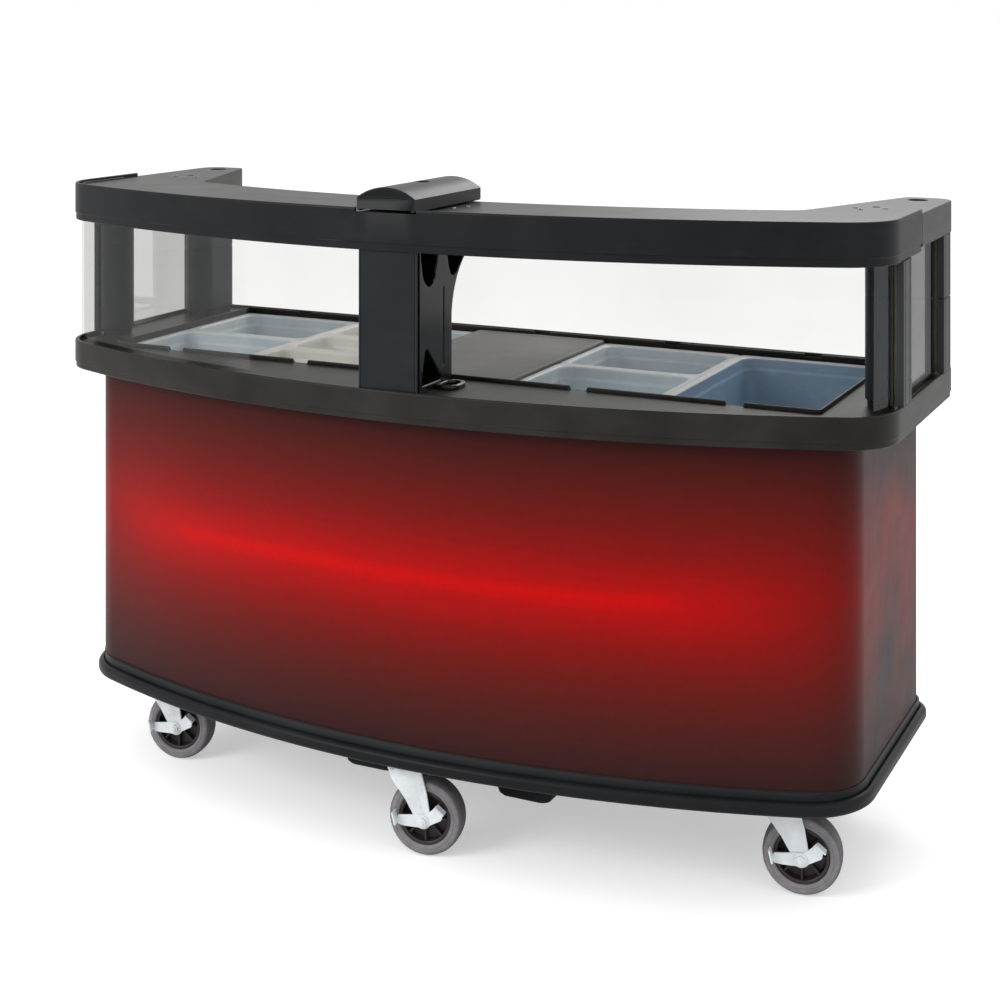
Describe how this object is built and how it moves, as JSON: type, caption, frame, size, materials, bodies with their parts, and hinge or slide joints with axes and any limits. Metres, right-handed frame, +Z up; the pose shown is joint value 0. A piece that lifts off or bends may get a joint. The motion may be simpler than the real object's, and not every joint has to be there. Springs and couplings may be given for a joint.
{
  "type": "steam table unit",
  "caption": "Castered food bar with a bowed front, an insulated well of lift-out food pans, a clear sneeze guard and a service shelf.",
  "frame": {"origin": "on the floor at the middle of the footprint, under the middle of the bowed front and base", "axes": "+X along the front to the right of a customer facing the cart, +Y from the customer side to the server side, +Z up"},
  "size_m": [1.905, 0.7879, 1.342],
  "materials": {
    "black_moulding": "satin moulded polyethylene",
    "body_plastic": "moulded polyethylene",
    "decorated_skin": "printed satin film on a plastic sheet",
    "clear_acrylic": "clear acrylic",
    "clear_pan": "translucent polypropylene",
    "cream_pan": "opaque moulded pan",
    "grey_cover": "textured moulded lid",
    "foam": "rigid polyurethane foam",
    "stainless": "brushed",
    "zinc_steel": "bright zinc plate",
    "screw_black": "black oxide",
    "valve_brass": "cast, dull",
    "lever_red": "vinyl dipped",
    "grey_tyre": "grey elastomer tread",
    "dark_core": "ribbed nylon core"
  },
  "bodies": {
    "frame": {"base_deck": "black_moulding", "body_shell": "body_plastic", "front_wrap": "decorated_skin", "bay_divider": "body_plastic", "storage_shelves": "body_plastic", "counter_top": "black_moulding", "well_insulation": "foam", "well_shell": "body_plastic", "pan_bars": "stainless", "top_shelf": "black_moulding", "fascia_band": "black_moulding", "clamp_bar": "black_moulding", "centre_post": "black_moulding", "centre_bracket": "black_moulding", "post_front_left": "black_moulding", "post_front_right": "black_moulding", "post_rear_left": "black_moulding", "post_rear_right": "black_moulding", "guard_front_left": "clear_acrylic", "guard_front_right": "clear_acrylic", "guard_end_left": "clear_acrylic", "guard_end_right": "clear_acrylic", "guard_trims": "black_moulding", "clamp_screws": "screw_black", "shelf_screws": "screw_black", "drain_fitting": "stainless", "drain_valve": "valve_brass", "caster_plates": "zinc_steel", "caster_bolts": "zinc_steel"},
    "pan_half_left_front_body": {"pan_half_left_front": "clear_pan"},
    "pan_half_left_rear_body": {"pan_half_left_rear": "clear_pan"},
    "pan_third_front_body": {"pan_third_front": "cream_pan"},
    "pan_third_middle_body": {"pan_third_middle": "cream_pan"},
    "pan_sixth_left_body": {"pan_sixth_left": "cream_pan"},
    "pan_sixth_right_body": {"pan_sixth_right": "clear_pan"},
    "cover_body": {"well_cover": "grey_cover"},
    "pan_half_right_front_body": {"pan_half_right_front": "clear_pan"},
    "pan_half_right_rear_body": {"pan_half_right_rear": "clear_pan"},
    "pan_full_right_body": {"pan_full_right": "clear_pan"},
    "drain_strainer_body": {"drain_strainer": "stainless"},
    "drain_handle": {"drain_lever": "lever_red"},
    "fork_front_left_body": {"fork_front_left": "zinc_steel"},
    "wheel_front_left": {"core_front_left": "dark_core", "tyre_front_left": "grey_tyre"},
    "pedal_front_left": {"brake_front_left": "zinc_steel"},
    "fork_front_centre_body": {"fork_front_centre": "zinc_steel"},
    "wheel_front_centre": {"core_front_centre": "dark_core", "tyre_front_centre": "grey_tyre"},
    "pedal_front_centre": {"brake_front_centre": "zinc_steel"},
    "fork_front_right_body": {"fork_front_right": "zinc_steel"},
    "wheel_front_right": {"core_front_right": "dark_core", "tyre_front_right": "grey_tyre"},
    "pedal_front_right": {"brake_front_right": "zinc_steel"},
    "fork_rear_left_body": {"fork_rear_left": "zinc_steel"},
    "wheel_rear_left": {"core_rear_left": "dark_core", "tyre_rear_left": "grey_tyre"},
    "fork_rear_right_body": {"fork_rear_right": "zinc_steel"},
    "wheel_rear_right": {"core_rear_right": "dark_core", "tyre_rear_right": "grey_tyre"}
  },
  "joints": [
    {"name": "pan_half_left_front_lift", "type": "slide", "parent": "frame", "child": "pan_half_left_front_body", "axis": [0, 0, 1], "range_m": [0, 0.2]},
    {"name": "pan_half_left_rear_lift", "type": "slide", "parent": "frame", "child": "pan_half_left_rear_body", "axis": [0, 0, 1], "range_m": [0, 0.2]},
    {"name": "pan_third_front_lift", "type": "slide", "parent": "frame", "child": "pan_third_front_body", "axis": [0, 0, 1], "range_m": [0, 0.2]},
    {"name": "pan_third_middle_lift", "type": "slide", "parent": "frame", "child": "pan_third_middle_body", "axis": [0, 0, 1], "range_m": [0, 0.2]},
    {"name": "pan_sixth_left_lift", "type": "slide", "parent": "frame", "child": "pan_sixth_left_body", "axis": [0, 0, 1], "range_m": [0, 0.2]},
    {"name": "pan_sixth_right_lift", "type": "slide", "parent": "frame", "child": "pan_sixth_right_body", "axis": [0, 0, 1], "range_m": [0, 0.2]},
    {"name": "well_cover_lift", "type": "slide", "parent": "frame", "child": "cover_body", "axis": [0, 0, 1], "range_m": [0, 0.2]},
    {"name": "pan_half_right_front_lift", "type": "slide", "parent": "frame", "child": "pan_half_right_front_body", "axis": [0, 0, 1], "range_m": [0, 0.2]},
    {"name": "pan_half_right_rear_lift", "type": "slide", "parent": "frame", "child": "pan_half_right_rear_body", "axis": [0, 0, 1], "range_m": [0, 0.2]},
    {"name": "pan_full_right_lift", "type": "slide", "parent": "frame", "child": "pan_full_right_body", "axis": [0, 0, 1], "range_m": [0, 0.2]},
    {"name": "drain_strainer_lift", "type": "slide", "parent": "frame", "child": "drain_strainer_body", "axis": [0, 0, 1], "range_m": [0, 0.025]},
    {"name": "drain_lever_turn", "type": "hinge", "parent": "frame", "child": "drain_handle", "pos_m": [0.3, 0.263, 0.639], "axis": [0, -1, 0], "range_deg": [-90, 0]},
    {"name": "swivel_front_left", "type": "hinge", "parent": "frame", "child": "fork_front_left_body", "pos_m": [-0.724, -0.124, 0.17], "axis": [0, 0, 1], "continuous": true},
    {"name": "roll_front_left", "type": "hinge", "parent": "fork_front_left_body", "child": "wheel_front_left", "pos_m": [-0.68461, -0.11705, 0.0762], "axis": [-0.1736, 0.9848, 0], "continuous": true},
    {"name": "brake_front_left", "type": "hinge", "parent": "fork_front_left_body", "child": "pedal_front_left", "pos_m": [-0.68461, -0.11705, 0.0762], "axis": [-0.1736, 0.9848, 0], "range_deg": [-12, 12]},
    {"name": "swivel_front_centre", "type": "hinge", "parent": "frame", "child": "fork_front_centre_body", "pos_m": [0, -0.294, 0.17], "axis": [0, 0, 1], "continuous": true},
    {"name": "roll_front_centre", "type": "hinge", "parent": "fork_front_centre_body", "child": "wheel_front_centre", "pos_m": [0.03939, -0.28705, 0.0762], "axis": [-0.1736, 0.9848, 0], "continuous": true},
    {"name": "brake_front_centre", "type": "hinge", "parent": "fork_front_centre_body", "child": "pedal_front_centre", "pos_m": [0.03939, -0.28705, 0.0762], "axis": [-0.1736, 0.9848, 0], "range_deg": [-12, 12]},
    {"name": "swivel_front_right", "type": "hinge", "parent": "frame", "child": "fork_front_right_body", "pos_m": [0.724, -0.124, 0.17], "axis": [0, 0, 1], "continuous": true},
    {"name": "roll_front_right", "type": "hinge", "parent": "fork_front_right_body", "child": "wheel_front_right", "pos_m": [0.76339, -0.11705, 0.0762], "axis": [-0.1736, 0.9848, 0], "continuous": true},
    {"name": "brake_front_right", "type": "hinge", "parent": "fork_front_right_body", "child": "pedal_front_right", "pos_m": [0.76339, -0.11705, 0.0762], "axis": [-0.1736, 0.9848, 0], "range_deg": [-12, 12]},
    {"name": "swivel_rear_left", "type": "hinge", "parent": "frame", "child": "fork_rear_left_body", "pos_m": [-0.64, 0.262, 0.17], "axis": [0, 0, 1], "continuous": true},
    {"name": "roll_rear_left", "type": "hinge", "parent": "fork_rear_left_body", "child": "wheel_rear_left", "pos_m": [-0.60061, 0.26895, 0.0762], "axis": [-0.1736, 0.9848, 0], "continuous": true},
    {"name": "swivel_rear_right", "type": "hinge", "parent": "frame", "child": "fork_rear_right_body", "pos_m": [0.64, 0.262, 0.17], "axis": [0, 0, 1], "continuous": true},
    {"name": "roll_rear_right", "type": "hinge", "parent": "fork_rear_right_body", "child": "wheel_rear_right", "pos_m": [0.67939, 0.26895, 0.0762], "axis": [-0.1736, 0.9848, 0], "continuous": true}
  ]
}
